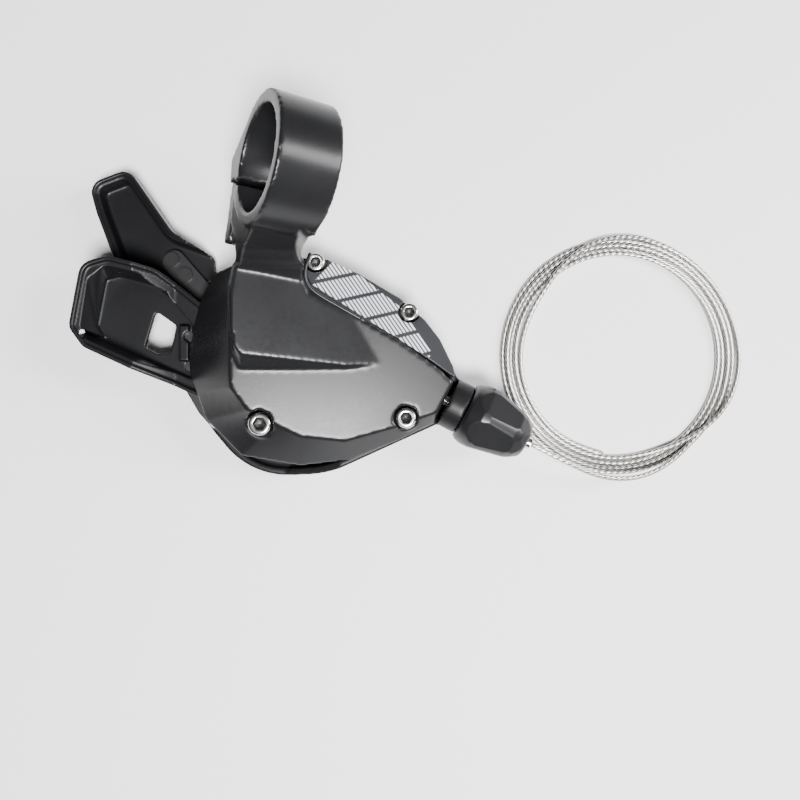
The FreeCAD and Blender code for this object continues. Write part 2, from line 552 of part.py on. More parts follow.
def release_lever():
    hub_gap = size("axle_radius") + size("running_gap")
    body = new_body("release_lever_arm")
    strip = [(-6.2, -6.4, 6), (10, -6.4, 6), (20, -2.8, 6), (42, -2.8, 2.4), (42, 2.8, 2.4),
             (20, 2.8, 6), (10, 6.4, 6), (-6.2, 6.4, 6)]
    holes = circle(0, 0, hub_gap) + circle(35, 0, 1.0) + circle(40, 0, 1.0)
    pad(body, "release_strip", outline(strip) + holes, "sizes.release_arm_foot", "sizes.arm_thickness")
    tail_angle = -15 - RELEASE_ANGLE
    side = V(*polar(1, tail_angle + 90), 0)
    reach = V(*polar(1, tail_angle), 0)
    tail = [reach * 4.5 - side * 2, reach * 16.3 - side * 1.6, reach * 16.3 + side * 1.6,
            reach * 4.5 + side * 2]
    pad(body, "release_tail", outline([(p.x, p.y, 0) for p in tail]), "sizes.release_arm_foot",
        "sizes.arm_thickness")
    body.Placement = FreeCAD.Placement(V(), FreeCAD.Rotation(Z_UP, RELEASE_ANGLE))
    pin_x, pin_y = polar(14.7, -15)
    feature("release_cam_pin", Part.makeCylinder(
        0.7, size("ratchet_foot") + size("ratchet_thickness") - size("release_arm_foot") - size("arm_thickness"),
        V(pin_x, pin_y, size("release_arm_foot") + size("arm_thickness"))))
    blank = new_body("release_paddle_blank")
    parts.remove(blank)
    rivet_holes = []
    for x, y in RELEASE_RIVETS:
        rivet_holes += circle(x, y, 1.0)
    pad(blank, "release_paddle_block", outline(RELEASE_PADDLE) + rivet_holes,
        "sizes.release_paddle_foot", "sizes.release_paddle_top - sizes.release_paddle_foot")
    floor, top = size("release_paddle_foot") + size("release_floor"), size("release_paddle_top")
    opened = list(RELEASE_PADDLE)
    opened[4], opened[5], opened[6] = (-24, 18.6, 1), (-12, 16, 1), (-12, 32, 1)
    cutters = doc.addObject("Part::MultiFuse", "release_paddle_cutters")
    cutters.Shapes = [feature("release_paddle_ledge", scoop(opened, 0.9, 0.9, top + 1, top - 0.7), keep=False),
                      feature("release_paddle_scoop", scoop(opened, 1.7, 2.3, top + 0.1, floor), keep=False)]
    boolean("release_lever_paddle", "Cut", blank, cutters)
    heads = []
    for x, y in RELEASE_RIVETS:
        shank = Part.makeCylinder(1.0, 3.8, V(x, y, size("release_paddle_foot")))
        head = Part.makeCylinder(1.8, 0.7, V(x, y, size("release_paddle_foot") + 3.8))
        heads.append(shank.fuse(head).removeSplitter())
    feature("release_lever_rivets", Part.makeCompound(heads))


def hold_pawl():
    x, y = 17.5, -6.5
    foot = size("base_plate_foot") + size("plate_thickness")
    feature("hold_pawl_pin", Part.makeCylinder(1.1, size("top_plate_foot") - foot, V(x, y, foot)))
    pawl = [(x - 1.9, y - 1.4, 1.2), (x + 1.9, y - 1.8, 1.2), (x + 2.6, y + 2.0, 1.2),
            (15.6, 3.9, 0.3), (13.5, 3.5, 0), (13.9, 1.8, 0.2), (16.1, -1.0, 1), (x - 2.1, y + 1.4, 1.2)]
    plate("hold_pawl", outline(pawl) + circle(x, y, 1.15), "sizes.ratchet_foot", "sizes.ratchet_thickness")


def coil_spring(label, start, end, radius, wire, turns):
    """A close-wound spring between two points, swept along a helix."""
    length = (end - start).Length
    helix = Part.makeHelix((length - 2 * wire) / turns, length - 2 * wire, radius)
    section = Part.Wire(Part.makeCircle(wire, V(radius, 0, 0), V(0, 1, 0)))
    sweep = Part.Wire(helix).makePipeShell([section], True, True)
    sweep.Placement = FreeCAD.Placement(start + (end - start).normalize() * wire,
                                        FreeCAD.Rotation(Z_UP, end - start))
    feature(label, sweep)


def small_springs():
    coil_spring("pull_return_spring", V(19.5, -5.6, 5.4), V(27.5, 3.6, 5.4), 1.2, 0.25, 9)
    coil_spring("release_return_spring", V(6.8, -15.4, 4.9), V(-2.8, -16.0, 4.9), 1.1, 0.25, 9)
    coil_spring("hold_pawl_spring", V(20.6, -8.2, 10.2), V(27.6, -10.2, 10.2), 1.0, 0.2, 8)


# ---------------------------------------------------------------- fasteners
def outer_fasteners():
    cover = [screw(radius, 2.6, 1.2, 3.9 if index == 0 else 9.0, 1.35, up(x, y, seat))
             for index, (x, y, seat, radius) in enumerate(COVER_SCREWS)]
    feature("cover_screws", Part.makeCompound(cover))
    names = [screw(radius, 2.2, 1.2, 6.5, 1.1, up(x, y, seat)) for x, y, seat, radius in NAME_SCREWS]
    feature("name_cover_screws", Part.makeCompound(names))
    axis = FreeCAD.Rotation(Z_UP, RISE * -1)
    bolt = screw(size("pinch_head_radius"), 3.6, size("pinch_bolt_radius"), 12.0, 2.3,
                 FreeCAD.Placement(clamp_point(8.0, -23.4, 7.7), axis))
    feature("pinch_bolt", bolt)
    washer = Part.makeCylinder(4.6, 0.8).cut(Part.makeCylinder(size("pinch_bolt_radius"), 3))
    washer.Placement = FreeCAD.Placement(clamp_point(8.0, -22.6, 7.7), axis)
    feature("pinch_washer", washer)


# ---------------------------------------------------------------- barrel adjuster
def adjuster():
    start = size("knob_start")
    bush = Part.makeCylinder(4.6, 2.2).cut(Part.makeCylinder(size("sleeve_radius") + 0.1, 3))
    bush.Placement = on_outlet(39.8)
    feature("adjuster_bush", bush)
    spring = Part.makeTorus(3.6, 0.28)
    spring.Placement = on_outlet(42.35)
    feature("detent_spring", spring)
    bore = size("sleeve_radius") + 0.1
    profile = [(42.8, bore), (42.8, 4.5), (start, 4.5), (start, 6.7), (45.2, 7.3), (48.3, 8.3),
               (50.2, 8.2), (57.0, 6.5), (58.8, 5.7), (60.6, 4.2), (start + size("knob_length"), 3.4),
               (start + size("knob_length"), bore)]
    knob = revolved([(station - start, radius) for station, radius in profile], FreeCAD.Placement())
    flats = ruled([[V(*polar(radius, 60 * k + 30), station) for k in range(6)]
                   for station, radius in [(1.6, 8.9), (4.4, 8.9), (13.2, 6.9), (17, 4.4)]])
    grip = flats.fuse(Part.makeCylinder(9, 1.6 + 4, V(0, 0, -4)))
    knob = knob.common(grip).removeSplitter()
    knob.Placement = on_outlet(start)
    feature("adjuster_knob", knob)
    sleeve_length = size("sleeve_end") - 38.5
    sleeve = Part.makeCylinder(size("sleeve_radius"), sleeve_length)
    sleeve = sleeve.cut(Part.makeCylinder(size("cable_radius") + 0.1, sleeve_length))
    sleeve.Placement = on_outlet(38.5)
    feature("stop_sleeve", sleeve)


# ---------------------------------------------------------------- cable
# The free cable's route: out of the sleeve, down to the surface and round to its own coil.
CABLE_EXIT = outlet(size("sleeve_end"))
COIL_CENTRE = (85.7, 5.9)
CABLE_ROUTE = [CABLE_EXIT, CABLE_EXIT + OUTLET * 9, V(79.3, -23.8, 9.0), V(89.0, -24.6, 6.2),
               V(97.8, -21.4, 3.6), V(104.6, -15.4, 2.2)]


def rounded_path(points):
    """Straight runs joined by arcs as large as the shorter run beside each allows."""
    edges, start = [], points[0]
    for before, here, after in zip(points, points[1:], points[2:]):
        back, ahead = before - here, after - here
        reach = 0.45 * min(back.Length, ahead.Length)
        back.normalize()
        ahead.normalize()
        half = back.getAngle(ahead) / 2
        radius = reach * math.tan(half)
        first, last = here + back * reach, here + ahead * reach
        middle = here + (back + ahead).normalize() * (radius / math.sin(half) - radius)
        edges.append(Part.makeLine(start, first))
        edges.append(Part.Arc(first, middle, last).toShape())
        print(f"cable bend radius {radius:.1f} mm")
        start = last
    edges.append(Part.makeLine(start, points[-1]))
    return Part.Wire(edges)


def cable():
    radius = size("cable_radius")
    run = Part.makeCylinder(radius, size("sleeve_end") - 2)
    run.Placement = on_outlet(2)
    feature("inner_cable_run", run)
    path = rounded_path(CABLE_ROUTE)
    section = Part.Wire(Part.makeCircle(radius, CABLE_EXIT, OUTLET))
    tube = path.makePipeShell([section], True, False)
    expected = math.pi * radius ** 2 * path.Length
    print(f"cable lead {path.Length:.1f} mm, volume ratio {tube.Volume / expected:.4f}")
    feature("cable_lead", tube)
    coil = Part.makeCylinder(size("coil_outer_radius"), size("coil_height"))
    coil = coil.cut(Part.makeCylinder(size("coil_inner_radius"), size("coil_height")))
    coil.translate(V(*COIL_CENTRE, 0))
    coil = coil.makeFillet(1.2, [edge for edge in coil.Edges if edge.Curve.TypeId == "Part::GeomCircle"])
    feature("cable_coil", coil)


for make in (lower_housing, clamp_cover, name_cover, frame_pieces, spool_pieces, pull_lever,
             release_lever, hold_pawl, small_springs, outer_fasteners, adjuster, cable):
    make()
doc.recompute()

for item in doc.Objects:
    if {"Invalid", "Error"} & set(item.State):
        raise RuntimeError(f"{item.Label} failed: {item.State}")
os.makedirs("parts", exist_ok=True)
for part in parts:
    if part.Shape.isNull() or not part.Shape.isValid():
        raise RuntimeError(f"{part.Label} has no valid shape")
    part.Shape.exportStep(f"parts/{part.Label}.step")
    print(f"{part.Label}: {len(part.Shape.Solids)} solid(s), {part.Shape.Volume:.1f} mm3")
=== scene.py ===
# %% [markdown]
# # A bicycle thumb shifter
# Two levers that the thumb pushes, a clamp that goes round the handlebar, and a bare steel cable.
# The exact shapes of the machine come ready made from the CAD model. This lesson gives each of them
# its real surface, softens the edges that a mould or a forging leaves round, and lays the cable out.

# %% The tools and the fixed frame
import json
import math

import bmesh
import bpy
import numpy as np
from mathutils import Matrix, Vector


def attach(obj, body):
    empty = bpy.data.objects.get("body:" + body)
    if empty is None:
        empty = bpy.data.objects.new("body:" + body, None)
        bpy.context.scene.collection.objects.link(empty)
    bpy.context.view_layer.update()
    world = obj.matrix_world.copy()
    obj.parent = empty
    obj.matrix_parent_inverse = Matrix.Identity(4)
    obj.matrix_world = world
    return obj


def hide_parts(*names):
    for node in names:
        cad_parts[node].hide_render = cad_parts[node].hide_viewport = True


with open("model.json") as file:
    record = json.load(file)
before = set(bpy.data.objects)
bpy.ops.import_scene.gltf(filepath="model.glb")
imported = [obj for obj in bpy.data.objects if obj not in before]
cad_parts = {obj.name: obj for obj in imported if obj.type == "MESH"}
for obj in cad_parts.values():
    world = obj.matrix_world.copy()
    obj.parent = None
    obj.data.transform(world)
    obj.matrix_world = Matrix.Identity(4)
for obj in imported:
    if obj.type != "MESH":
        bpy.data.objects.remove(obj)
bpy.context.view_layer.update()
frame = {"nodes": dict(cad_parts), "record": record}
nodes = frame["nodes"]
MM = 0.001

# %% [markdown]
# The camera comes first, because it decides how much of the cable's neatness matters. The shifter
# lies on its back on a table and is seen from straight above, from about a hand's length away, so
# near pieces look larger than far ones. An unturned Blender camera looks down -Z with +Y upwards.

# %% Camera
CAMERA_PLACE = Vector((30.5, -4.8, 210.0)) * MM
camera_data = bpy.data.cameras.new("overhead_camera")
camera_data.lens = 36.86
camera_data.sensor_width = 36.0
camera_data.clip_start = 0.005
camera = bpy.data.objects.new("overhead_camera", camera_data)
camera.location = CAMERA_PLACE
bpy.context.scene.collection.objects.link(camera)
bpy.context.scene.camera = camera
print("camera", tuple(round(v, 4) for v in camera.location))

# %% [markdown]
# The inner cable is a stiff twisted steel wire that springs into a loose ring as soon as it is free.
# It could be a bevelled curve, but a curve has no way to carry the twist of its wires, so the route
# is a NURBS spline and the visible cable is a tube swept along the points that the spline gives.
# It leaves the adjuster straight, sinks to the table, and then goes nearly five times round.

# %% Route of the free cable
CABLE_DIAMETER = 1.2 * MM
outlet_angle = math.radians(-27)
OUTLET = Vector((math.cos(outlet_angle), math.sin(outlet_angle), 0))
SPOOL_TANGENT = Vector((-OUTLET.y, OUTLET.x, 0)) * 14.5 + Vector((0, 0, 11.9))
CABLE_EXIT = SPOOL_TANGENT + OUTLET * 62.2
route = [CABLE_EXIT, CABLE_EXIT + OUTLET * 9, Vector((79.3, -23.8, 9.0)), Vector((89.0, -24.6, 6.2)),
         Vector((97.8, -21.4, 3.6)), Vector((104.6, -15.4, 2.2))]
COIL_CENTRE = Vector((85.7, 5.9, 0))
COIL_RADIUS = 30.05
JOIN_ANGLE = 48.4
TOUCHING = 1.24
WIRE_HEIGHT = 0.62
LAST_TURN = 1362
NURBS_SHRINK = 0.9877


def rise(value, start, end):
    """0 before start, 1 after end, and the smooth step 3t^2 - 2t^3 between them."""
    t = min(max((value - start) / (end - start), 0), 1)
    return t * t * (3 - 2 * t)


def coil_point(angle):
    """A point of the coil, `angle` degrees along it, where 0 is +X of the coil's centre.

    Turns lie side by side, each a wire further in than the last. Where they crowd together, every
    second turn rides half over its neighbours. The last turn crosses over all the others outwards,
    runs round the outside, and crosses back in at the top. A NURBS curve cuts its corners a little,
    so the radius is divided by NURBS_SHRINK. Lengths are in millimetres.
    """
    around = math.radians(angle)
    turn = (angle + JOIN_ANGLE) / 360
    gap = 1.16 + 0.10 * math.cos(around + math.radians(JOIN_ANGLE))
    lift = math.sqrt(max(TOUCHING ** 2 - gap ** 2, 0))
    radius = COIL_RADIUS - 0.25 * math.cos(2 * around) - gap * turn
    radius += 0.10 * math.sin(around + 2.1 * int(turn))
    height = WIRE_HEIGHT + lift * (int(turn) % 2)
    outside = rise(angle, 1368, 1432) - rise(angle, 1522, 1590)
    inside = rise(angle, 1530, 1600)
    first_crossing = rise(angle, LAST_TURN, 1382) - rise(angle, 1425, 1445)
    second_crossing = rise(angle, 1515, 1532) - rise(angle, 1580, 1600)
    if angle > LAST_TURN:
        radius = 25.4 + 5.7 * outside - 1.0 * inside
        height = WIRE_HEIGHT + (1.3 + lift) * (first_crossing + second_crossing)
    spoke = Vector((radius * math.cos(around), radius * math.sin(around), 0)) / NURBS_SHRINK
    return COIL_CENTRE + spoke + Vector((0, 0, height))


END_ANGLE = 262 + 4 * 360
angles = list(range(-24, END_ANGLE, 18)) + [END_ANGLE]
points = route + [coil_point(angle) for angle in angles]
curve = bpy.data.curves.new("cable_route", "CURVE")
curve.dimensions = "3D"
curve.resolution_u = 8
spline = curve.splines.new("NURBS")
spline.points.add(len(points) - 1)
for spot, point in zip(spline.points, points):
    spot.co = (*(point * MM), 1)
spline.order_u = 3
spline.use_endpoint_u = True
curve_piece = bpy.data.objects.new("cable_route", curve)
bpy.context.scene.collection.objects.link(curve_piece)
bpy.context.view_layer.update()
evaluated = curve_piece.evaluated_get(bpy.context.evaluated_depsgraph_get())
line_mesh = bpy.data.meshes.new_from_object(evaluated)
path = np.zeros(len(line_mesh.vertices) * 3)
line_mesh.vertices.foreach_get("co", path)
path = path.reshape(-1, 3)
bpy.data.objects.remove(curve_piece)
cable_length = float(np.linalg.norm(np.diff(path, axis=0), axis=1).sum())
print("cable points", len(path), "length", round(cable_length, 4))


# %% Meshes from grids of points
def grid_mesh(name, points, closed_v=False, caps=False, uv=None):
    """A mesh from an array of points[u][v]: quads between neighbours, and flat caps at both ends."""
    rows, columns = points.shape[:2]
    index = np.arange(rows * columns).reshape(rows, columns)
    if closed_v:
        index = np.hstack([index, index[:, :1]])
    quads = np.stack([index[:-1, :-1], index[:-1, 1:], index[1:, 1:], index[1:, :-1]], axis=-1)
    faces = quads.reshape(-1, 4).tolist()
    if caps:
        faces += [index[0, :columns][::-1].tolist(), index[-1, :columns].tolist()]
    mesh = bpy.data.meshes.new(name)
    mesh.from_pydata(points.reshape(-1, 3).tolist(), [], faces)
    mesh.polygons.foreach_set("use_smooth", np.ones(len(faces), bool))
    if uv is not None:
        layer = mesh.uv_layers.new(name="surface")
        corners = np.zeros(len(mesh.loops), int)
        mesh.loops.foreach_get("vertex_index", corners)
        layer.data.foreach_set("uv", uv.reshape(-1, 2)[corners].ravel())
    mesh.update()
    return mesh


def add_piece(name, mesh, body):
    piece = bpy.data.objects.new(name, mesh)
    bpy.context.scene.collection.objects.link(piece)
    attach(piece, body)
    return piece


def swept(path, section):
    """Points of a closed section carried along a path.

    The section's plane stays square to the path. Its x axis is kept level: it is the cross product
    of +Z and the path's direction.
    """
    ahead = np.gradient(path, axis=0)
    ahead /= np.linalg.norm(ahead, axis=1)[:, None]
    level = np.cross([0.0, 0.0, 1.0], ahead)
    level /= np.linalg.norm(level, axis=1)[:, None]
    upright = np.cross(ahead, level)
    sideways = section[None, :, 0, None] * level[:, None]
    return path[:, None] + sideways + section[None, :, 1, None] * upright[:, None]


# %% The visible cable
SIDES = 14
STEP = 0.9 * MM
around = np.linspace(0, 2 * math.pi, SIDES, endpoint=False)
section = np.stack([np.cos(around), np.sin(around)], axis=1) * CABLE_DIAMETER / 2
step = np.concatenate([[0], np.cumsum(np.linalg.norm(np.diff(path, axis=0), axis=1))])
fine = np.linspace(0, step[-1], int(step[-1] / STEP))
dense = np.stack([np.interp(fine, step, path[:, axis]) for axis in range(3)], axis=1)
tube = swept(dense, section)
uv = np.stack(np.broadcast_arrays(fine[:, None] / MM, around[None] / (2 * math.pi)), axis=-1)
cable = add_piece("inner_cable", grid_mesh("inner_cable", tube, closed_v=True, caps=True, uv=uv),
                  "shifter_frame")
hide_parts("cable_lead", "cable_coil")
print("cable faces", len(cable.data.polygons))

# %% [markdown]
# Materials are written as short sums. A node socket is wrapped in a small class, so `1 - mask` or
# `noise * 0.2` in Python adds the Math nodes that do it, and a finish reads like a formula.

# %% Shader arithmetic
class Value:
    """A number that a node gives, ready for Python arithmetic."""

    def __init__(self, finish, socket):
        self.finish = finish
        self.socket = socket

    def maths(self, operation, *values):
        inputs = dict(enumerate(values))
        return self.finish.node("ShaderNodeMath", {"operation": operation}, inputs)

    def __add__(self, other):
        return self.maths("ADD", self, other)

    def __radd__(self, other):
        return self.maths("ADD", other, self)

    def __sub__(self, other):
        return self.maths("SUBTRACT", self, other)

    def __rsub__(self, other):
        return self.maths("SUBTRACT", other, self)

    def __mul__(self, other):
        return self.maths("MULTIPLY", self, other)

    def __rmul__(self, other):
        return self.maths("MULTIPLY", other, self)

    def __gt__(self, other):
        return self.maths("GREATER_THAN", self, other)

    def sine(self):
        return self.maths("SINE", self)

    def fraction(self):
        return self.maths("FRACT", self)


class Finish:
    """A material: `node` adds any node, `colour` and the rest feed the surface shader."""

    def __init__(self, name, **constants):
        self.material = bpy.data.materials.new(name)
        self.material.use_nodes = True
        self.tree = self.material.node_tree
        self.shader = self.tree.nodes["Principled BSDF"]
        for socket, value in constants.items():
            self.shader.inputs[socket.replace("_", " ")].default_value = value

    def feed(self, socket, value):
        if isinstance(value, Value):
            self.tree.links.new(value.socket, socket)
        else:
            socket.default_value = value

    def node(self, kind, settings=None, inputs=None, output=0):
        made = self.tree.nodes.new(kind)
        for key, value in (settings or {}).items():
            setattr(made, key, value)
        for key, value in (inputs or {}).items():
            self.feed(made.inputs[key], value)
        return Value(self, made.outputs[output])

    def surface(self, **values):
        for socket, value in values.items():
            self.feed(self.shader.inputs[socket.replace("_", " ")], value)

    def place(self):
        """The point of the surface, in metres, in the object's own frame."""
        return self.node("ShaderNodeTexCoord", output="Object")

    def split(self, value):
        """The x, y and z of a vector value."""
        parts = self.tree.nodes.new("ShaderNodeSeparateXYZ")
        self.feed(parts.inputs[0], value)
        return [Value(self, part) for part in parts.outputs]

    def noise(self, scale, detail=2.0, roughness=0.5, stretch=(1, 1, 1)):
        where = self.node("ShaderNodeMapping", inputs={"Vector": self.place(), "Scale": stretch})
        return self.node("ShaderNodeTexNoise", inputs={"Vector": where, "Scale": scale, "Detail": detail,
                                                       "Roughness": roughness})

    def mix(self, factor, first, second):
        inputs = {0: factor, 6: first, 7: second}
        return self.node("ShaderNodeMix", {"data_type": "RGBA"}, inputs, output=2)

    def bump(self, height, distance, strength=1.0):
        return self.node("ShaderNodeBump", inputs={"Height": height, "Distance": distance,
                                                   "Strength": strength})


print("shader arithmetic ready")

# %% [markdown]
# The black pieces are not one black. The clamp is a forging with a satin coat over fine blasting, the
# covers and levers are moulded plastic with a spark-eroded grain, and thumbs and gloves polish them
# unevenly. Each gets the same three ingredients in its own amounts: a grain that is only bump, a
# slow change of roughness, and a slight change of tone.

# %% Black finishes
def black_finish(name, tone, roughness, grain_size, grain_depth, patchiness=0.06, specular=0.5):
    """Satin black: fine grain bump, and slow noise in roughness and tone. Sizes in millimetres."""
    finish = Finish(name, Specular_IOR_Level=specular)
    grain = finish.noise(1 / (grain_size * MM), detail=3.0, roughness=0.6)
    patches = finish.noise(60.0, detail=3.0)
    fine = finish.noise(900.0, detail=2.0)
    dark = tuple(channel * 0.8 for channel in tone) + (1,)
    light = tuple(channel * 1.3 for channel in tone) + (1,)
    finish.surface(Base_Color=finish.mix(patches, dark, light),
                   Roughness=roughness + (patches - 0.5) * patchiness * 2 + (fine - 0.5) * 0.05,
                   Normal=finish.bump(grain, grain_depth * MM))
    return finish


FORGED = black_finish("satin_black_forging", (0.0085, 0.0085, 0.0095), 0.29, 0.35, 0.008,
                      patchiness=0.05, specular=0.26)
MOULDED = black_finish("black_moulding", (0.0075, 0.0075, 0.0085), 0.40, 0.30, 0.010,
                       specular=0.18)
LEVER = black_finish("lever_moulding", (0.0070, 0.0070, 0.0080), 0.36, 0.40, 0.008,
                     specular=0.26)
KNOB = black_finish("knob_moulding", (0.0080, 0.0080, 0.0090), 0.34, 0.30, 0.008,
                    specular=0.4)
BLACK_OXIDE = black_finish("black_oxide_steel", (0.010, 0.010, 0.011), 0.38, 0.15, 0.004)
print("black finishes", 5)

# %% [markdown]
# The metal parts differ in how they were made. Stamped plates show the grain of rolled sheet, turned
# pieces show rings too fine to see one by one, so their roughness is what tells, and screws are
# tumbled bright. The cable's wires are laid in a helix, so its stripes of painted shade in the valleys
# and painted highlight on the crests follow the tube's own surface.

# %% Metal finishes
def metal_finish(name, colour, roughness, stretch=(1, 1, 1), marks=0.10, depth=0.004):
    """Bare metal with marks drawn out along one direction, and a little tarnish in patches."""
    finish = Finish(name, Metallic=1.0)
    scratches = finish.noise(1500.0, detail=3.0, stretch=stretch)
    tarnish = finish.noise(120.0, detail=4.0)
    dull = tuple(channel * 0.82 for channel in colour) + (1,)
    finish.surface(Base_Color=finish.mix(tarnish, dull, (*colour, 1)),
                   Roughness=roughness + (scratches - 0.5) * marks + (tarnish - 0.5) * 0.08,
                   Normal=finish.bump(scratches, depth * MM))
    return finish


def cable_finish():
    """Stranded steel: six outer strands in a helix, the valleys between them painted dark as painted
    shade and their crests painted light as painted highlight, with some tarnish.
    """
    finish = Finish("stranded_steel", Metallic=1.0)
    wrap = finish.node("ShaderNodeUVMap", {"uv_map": "surface"})
    along, across, _ = finish.split(wrap)
    strands, turns_per_mm = 6, 0.62
    phase = (across * strands + along * turns_per_mm) * (2 * math.pi)
    crest = phase.sine() * 0.5 + 0.5
    tarnish = finish.noise(300.0, detail=3.0)
    # Painted shade in the valleys between strands and painted highlight on their crests, with a quarter
    # of tarnish.
    shade = crest * 0.75 + tarnish * 0.25
    finish.surface(Base_Color=finish.mix(shade, (0.20, 0.19, 0.18, 1), (0.74, 0.72, 0.70, 1)),
                   Roughness=0.42 - crest * 0.14,
                   Normal=finish.bump(crest, 0.08 * MM, 0.8))
    return finish


STAMPED = metal_finish("stamped_zinc_steel", (0.55, 0.55, 0.56), 0.38, stretch=(1, 0.06, 1))
TURNED = metal_finish("turned_steel", (0.60, 0.60, 0.61), 0.30, stretch=(1, 1, 6))
BRIGHT = metal_finish("bright_stainless", (0.80, 0.78, 0.75), 0.20, marks=0.06, depth=0.002)
SPRING = metal_finish("spring_steel", (0.42, 0.42, 0.44), 0.35)
# Dark, rough steel for the inside of the screw sockets: painted shade for the shade deep in the holes.
SOCKET_SHADE = metal_finish("socket_painted_shade", (0.10, 0.10, 0.10), 0.45)
BRASS = metal_finish("turned_brass", (0.78, 0.60, 0.28), 0.28, stretch=(1, 1, 6))
SPOOL = black_finish("grey_moulding", (0.42, 0.42, 0.41), 0.45, 0.3, 0.008)
CABLE = cable_finish()
cable.data.materials.append(CABLE.material)
print("metal finishes", 8)


# %% [markdown]
# The strip beside the clamp cover carries a decoration in real life. Here it is a plain run of light
# slanting stripes, printed on the black moulding: a pattern in the object's own millimetres, so it
# needs no image, and it stops short of the edges and of the screws.

# %% Printed stripes
STRIPE_ORIGIN = (10.0, 29.0)
STRIP_COSINE, STRIP_SINE = 0.785, 0.62
STRIPES_PER_MM = 1.25


def name_cover_finish():
    """Satin black with light stripes inside a slanting band.

    `along` runs down the strip and `across` over it, both in millimetres from the strip's upper
    left screw. A stripe is where the fraction of a slanted coordinate is over 0.42. A second, slower
    fraction leaves dark bars between the groups of stripes.
    """
    finish = Finish("striped_cover", Specular_IOR_Level=0.5)
    place_x, place_y, _ = finish.split(finish.place())
    x = (place_x * (1 / MM)) - STRIPE_ORIGIN[0]
    y = (place_y * (1 / MM)) - STRIPE_ORIGIN[1]
    along = x * STRIP_COSINE - y * STRIP_SINE
    across = x * STRIP_SINE + y * STRIP_COSINE
    stripe = ((along * 0.30 + across * 0.95) * STRIPES_PER_MM).fraction() > 0.42
    bar = ((along * 0.14 - across * 0.10).fraction() > 0.16)
    low_edge = across - (along * 0.11 - 5.9) > 0.0
    high_edge = (3.6 - across) > 0.0
    ends = (along - 4.2 > 0.0) * ((36.2 - along) > 0.0)
    right_edge = ((25.6 - along) * 0.34 + 3.1 - across) > 0.0
    mask = stripe * low_edge * high_edge * bar * ends * right_edge
    patches = finish.noise(60.0, detail=3.0)
    grain = finish.noise(1 / (0.3 * MM), detail=3.0)
    ground = finish.mix(patches, (0.015, 0.015, 0.018, 1), (0.026, 0.026, 0.029, 1))
    finish.surface(Base_Color=finish.mix(mask, ground, (0.62, 0.65, 0.70, 1)),
                   Roughness=0.44 + (patches - 0.5) * 0.1 - mask * 0.06,
                   Normal=finish.bump(grain, 0.01 * MM))
    return finish


STRIPED = name_cover_finish()

# %% Finish for every kept piece of the CAD model
FINISHES = {"black_shell": FORGED, "black_cover": MOULDED, "lever_plastic": LEVER, "knob_plastic": KNOB,
            "stamped_steel": STAMPED, "turned_steel": TURNED, "bright_screw": BRIGHT,
            "black_bolt": BLACK_OXIDE, "spring_steel": SPRING, "spool_plastic": SPOOL,
            "cable_steel": CABLE, "bright_sleeve": BRIGHT, "brass_bush": BRASS}
SLOT_OF = {part["node"]: part["material_slot"] for part in frame["record"]["subparts"]}


def dress(piece, finish):
    piece.data.materials.clear()
    piece.data.materials.append(finish.material)


PLAIN_STEEL = metal_finish("cable_core_steel", (0.60, 0.59, 0.57), 0.35)
for node, piece in nodes.items():
    dress(piece, PLAIN_STEEL if SLOT_OF[node] == "cable_steel" else FINISHES[SLOT_OF[node]])
print("dressed", len(nodes), "CAD nodes")


# %% [markdown]
# Forged and moulded pieces have no sharp edges: metal flows round them and moulds are radiused. A
# Bevel modifier would have to find its way through hundreds of cut corners, so each outer shell is
# rebuilt instead: a copy of the exact solid is turned into small even cells and relaxed, which
# rounds every edge by the same small amount and leaves flat faces flat.

# %% Softened shells
def softened(name, node, body, cell, rounds, finish):
    """A copy of a CAD node, remeshed to cells of `cell` mm and relaxed `rounds` times."""
    mesh = nodes[node].data.copy()
    work = bmesh.new()
    work.from_mesh(mesh)
    bmesh.ops.remove_doubles(work, verts=work.verts, dist=1e-6)
    work.to_mesh(mesh)
    work.free()
    piece = bpy.data.objects.new(name, mesh)
    bpy.context.scene.collection.objects.link(piece)
    remesh = piece.modifiers.new("even_cells", "REMESH")
    remesh.mode = "VOXEL"
    remesh.voxel_size = cell * MM
    relax = piece.modifiers.new("relaxed", "SMOOTH")
    relax.factor = 0.5
    relax.iterations = rounds
    bpy.context.view_layer.update()
    evaluated = piece.evaluated_get(bpy.context.evaluated_depsgraph_get())
    result = bpy.data.meshes.new_from_object(evaluated)
    piece.modifiers.clear()
    piece.data = result
    result.polygons.foreach_set("use_smooth", np.ones(len(result.polygons), bool))
    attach(piece, body)
    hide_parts(node)
    dress(piece, finish)
    print(name, len(result.polygons), "faces")


SHELLS = [("clamp_shell", "clamp_cover", "shifter_frame", 0.40, 6, FORGED),
          ("housing_shell", "lower_housing", "shifter_frame", 0.40, 4, MOULDED),
          ("name_strip", "name_cover", "shifter_frame", 0.25, 4, STRIPED),
          ("pull_paddle", "pull_lever_paddle", "pull_lever", 0.22, 7, LEVER),
          ("release_paddle", "release_lever_paddle", "release_lever", 0.30, 5, LEVER),
          ("barrel_knob", "adjuster_knob", "adjuster_knob", 0.18, 3, KNOB)]
for shell in SHELLS:
    softened(*shell)

# %% [markdown]
# The four bright screws are what the eye finds first. A socket screw's head is turned, with a soft
# shoulder, and its socket is broached: six flat walls above a drilled cone. Inside the socket the
# steel is painted darker and rougher, a painted shade for the shade deep in the hole. One profile
# does it all, from the shank's tip, over the head and down into the socket: each row of points is a
# circle, a hexagon, or a blend of the two.

# %% Socket screws
def ring_radius(radius, hexagon, angle):
    """Distance from the axis: `radius` for a circle, and for a hexagon radius cos 30 / cos(a - 30)
    with a the angle within one sixth of a turn. `hexagon` from 0 to 1 blends them."""
    sixth = np.mod(angle, math.pi / 3) - math.pi / 6
    flat = radius * math.cos(math.pi / 6) / np.cos(sixth)
    return radius * (1 - hexagon) + flat * hexagon


